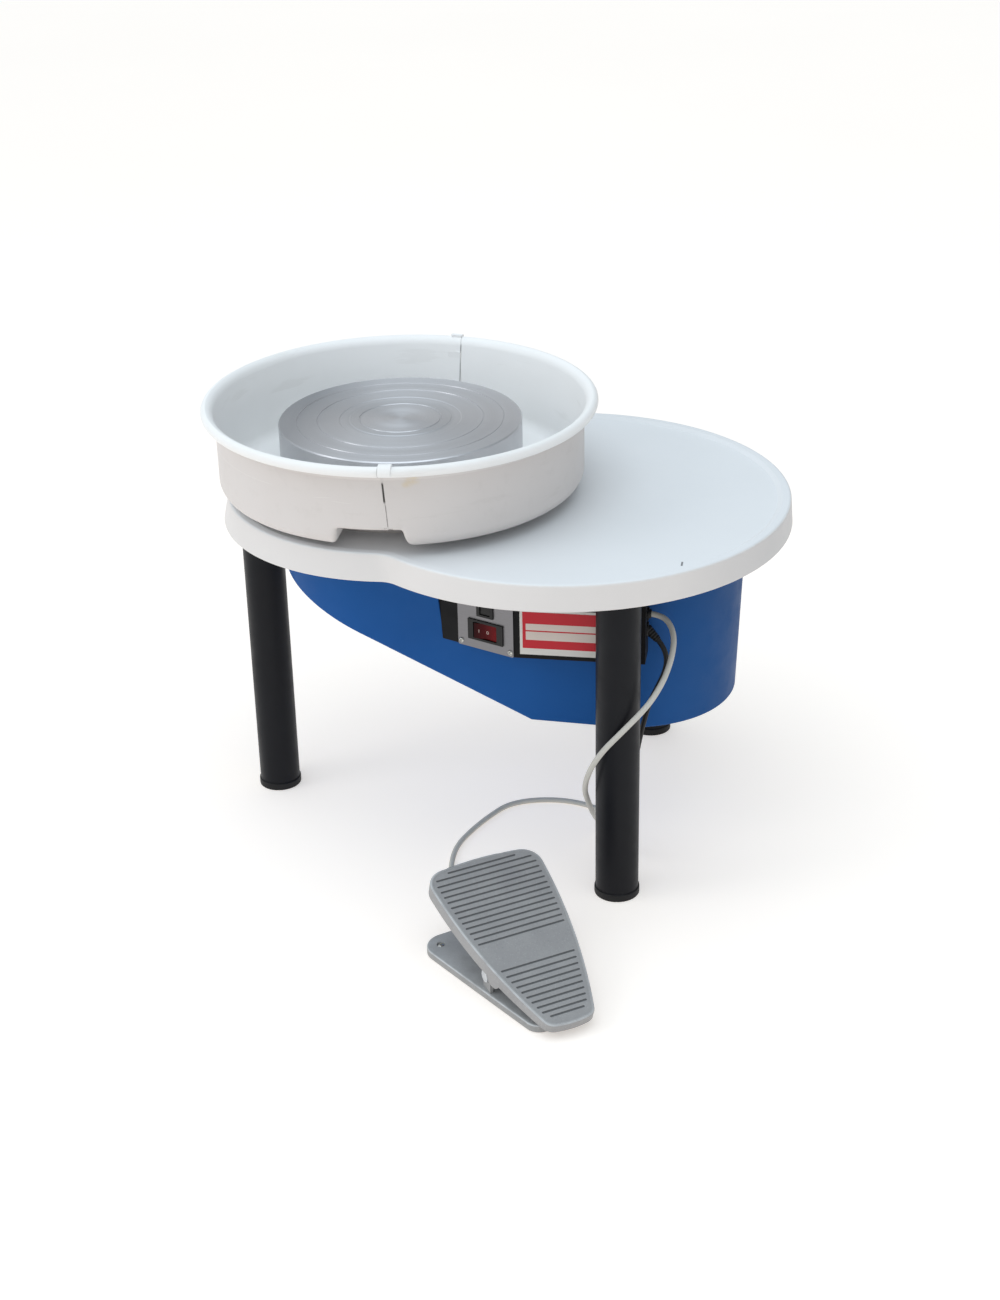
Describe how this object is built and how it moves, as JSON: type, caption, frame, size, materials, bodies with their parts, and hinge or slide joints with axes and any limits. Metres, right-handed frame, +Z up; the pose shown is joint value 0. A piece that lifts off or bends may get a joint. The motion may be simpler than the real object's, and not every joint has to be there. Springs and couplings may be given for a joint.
{
  "type": "pottery wheel",
  "caption": "Electric pottery wheel with a turning metal head in a split splash pan on a tray-shaped table with tubular legs, a belt housing with switches, and a rocking foot pedal on a cord.",
  "frame": {"origin": "middle of the object's box at floor level, measured without the free cords and the plug", "axes": "+Z up along the spindle, +X from the wheel head towards the motor end, +Y away from the foot pedal"},
  "size_m": [0.7388, 0.8599, 0.5689],
  "materials": {
    "table_plastic": "satin moulded off-white",
    "pan_plastic": "satin moulded off-white",
    "black_steel": "satin black paint",
    "leg_paint": "satin black paint",
    "zinc_screw": "zinc plated",
    "foot_rubber": "matt black",
    "blue_paint": "satin blue powder coat",
    "cast_black": "as cast, black",
    "bearing_steel": "ground",
    "shaft_steel": "turned",
    "head_aluminium": "turned, satin",
    "pulley_aluminium": "turned",
    "black_screw": "black oxide",
    "belt_rubber": "matt black",
    "motor_paint": "satin black",
    "box_paint": "satin black",
    "plate_metal": "satin",
    "switch_black": "satin",
    "rocker_red": "translucent red",
    "rocker_black": "satin",
    "label_white": "blank label",
    "board_green": "board",
    "gland_black": "satin",
    "pedal_grey": "hammered grey",
    "pedal_base_grey": "grey",
    "magnet_metal": "nickel plated",
    "cord_grey": "satin light grey",
    "cord_black": "satin black",
    "tie_black": "hook and loop strap",
    "plug_black": "satin black"
  },
  "bodies": {
    "frame": {"table_top": "table_plastic", "chassis_plate": "black_steel", "table_screws": "zinc_screw", "leg_sockets": "black_steel", "leg_left": "leg_paint", "leg_front": "leg_paint", "leg_rear": "leg_paint", "leg_feet": "foot_rubber", "leg_screws": "zinc_screw", "belt_housing": "blue_paint", "housing_screws": "zinc_screw", "bearing_housing": "cast_black", "bearing_bolts": "zinc_screw", "upper_bearing": "bearing_steel", "lower_bearing": "bearing_steel", "drive_belt": "belt_rubber", "motor_body": "motor_paint", "motor_bracket": "black_steel", "motor_bolts": "zinc_screw", "bracket_bolts": "zinc_screw", "control_box": "box_paint", "switch_plate": "plate_metal", "plate_screws": "zinc_screw", "power_switch_body": "switch_black", "direction_switch_body": "switch_black", "nameplate": "label_white", "controller_board": "board_green", "pedal_cord_gland": "gland_black", "power_cord_relief": "gland_black", "pedal_base": "pedal_base_grey", "pedal_pads": "foot_rubber", "pedal_pad_screws": "zinc_screw", "pedal_pivot_pin": "shaft_steel", "pedal_sensor": "switch_black", "pedal_cord_relief": "gland_black", "pedal_cord": "cord_grey", "power_cord": "cord_black", "power_cord_coil": "cord_black", "coil_tie": "tie_black", "power_plug": "plug_black"},
    "wheel": {"wheel_head": "head_aluminium", "spindle": "shaft_steel", "head_set_screws": "black_screw", "driven_pulley": "pulley_aluminium", "pulley_set_screws": "black_screw"},
    "motor_rotor": {"motor_shaft": "shaft_steel", "motor_pulley": "pulley_aluminium"},
    "power_rocker": {"power_rocker": "rocker_red"},
    "direction_rocker": {"direction_rocker": "rocker_black"},
    "treadle": {"pedal_treadle": "pedal_grey", "pedal_magnet": "magnet_metal"},
    "pan_left": {"splash_pan_left": "pan_plastic"},
    "pan_right": {"splash_pan_right": "pan_plastic"}
  },
  "joints": [
    {"name": "wheel_spin", "type": "hinge", "parent": "frame", "child": "wheel", "pos_m": [-0.122, 0.1229, 0.4], "axis": [0, 0, 1], "continuous": true},
    {"name": "motor_spin", "type": "hinge", "parent": "frame", "child": "motor_rotor", "pos_m": [0.163, 0.1229, 0.33], "axis": [0, 0, 1], "continuous": true},
    {"name": "power_rocker_tip", "type": "hinge", "parent": "frame", "child": "power_rocker", "pos_m": [0.00809, -0.03118, 0.322], "axis": [0, 0, 1], "range_deg": [-14, 0]},
    {"name": "direction_rocker_tip", "type": "hinge", "parent": "frame", "child": "direction_rocker", "pos_m": [0.00809, -0.03118, 0.3568], "axis": [0.915, -0.4035, 0], "range_deg": [-14, 0]},
    {"name": "treadle_rock", "type": "hinge", "parent": "frame", "child": "treadle", "pos_m": [0.09537, -0.30583, 0.03], "axis": [-0.8183, -0.5748, 0], "range_deg": [0, 25]},
    {"name": "pan_left_off", "type": "slide", "parent": "frame", "child": "pan_left", "axis": [-0.9945, 0, 0.1045], "range_m": [0, 0.25]},
    {"name": "pan_right_off", "type": "slide", "parent": "frame", "child": "pan_right", "axis": [0.9945, 0, 0.1045], "range_m": [0, 0.25]}
  ],
  "couplings": [
    {"joint": "motor_spin", "follows": "wheel_spin", "ratio": 4.8421}
  ]
}
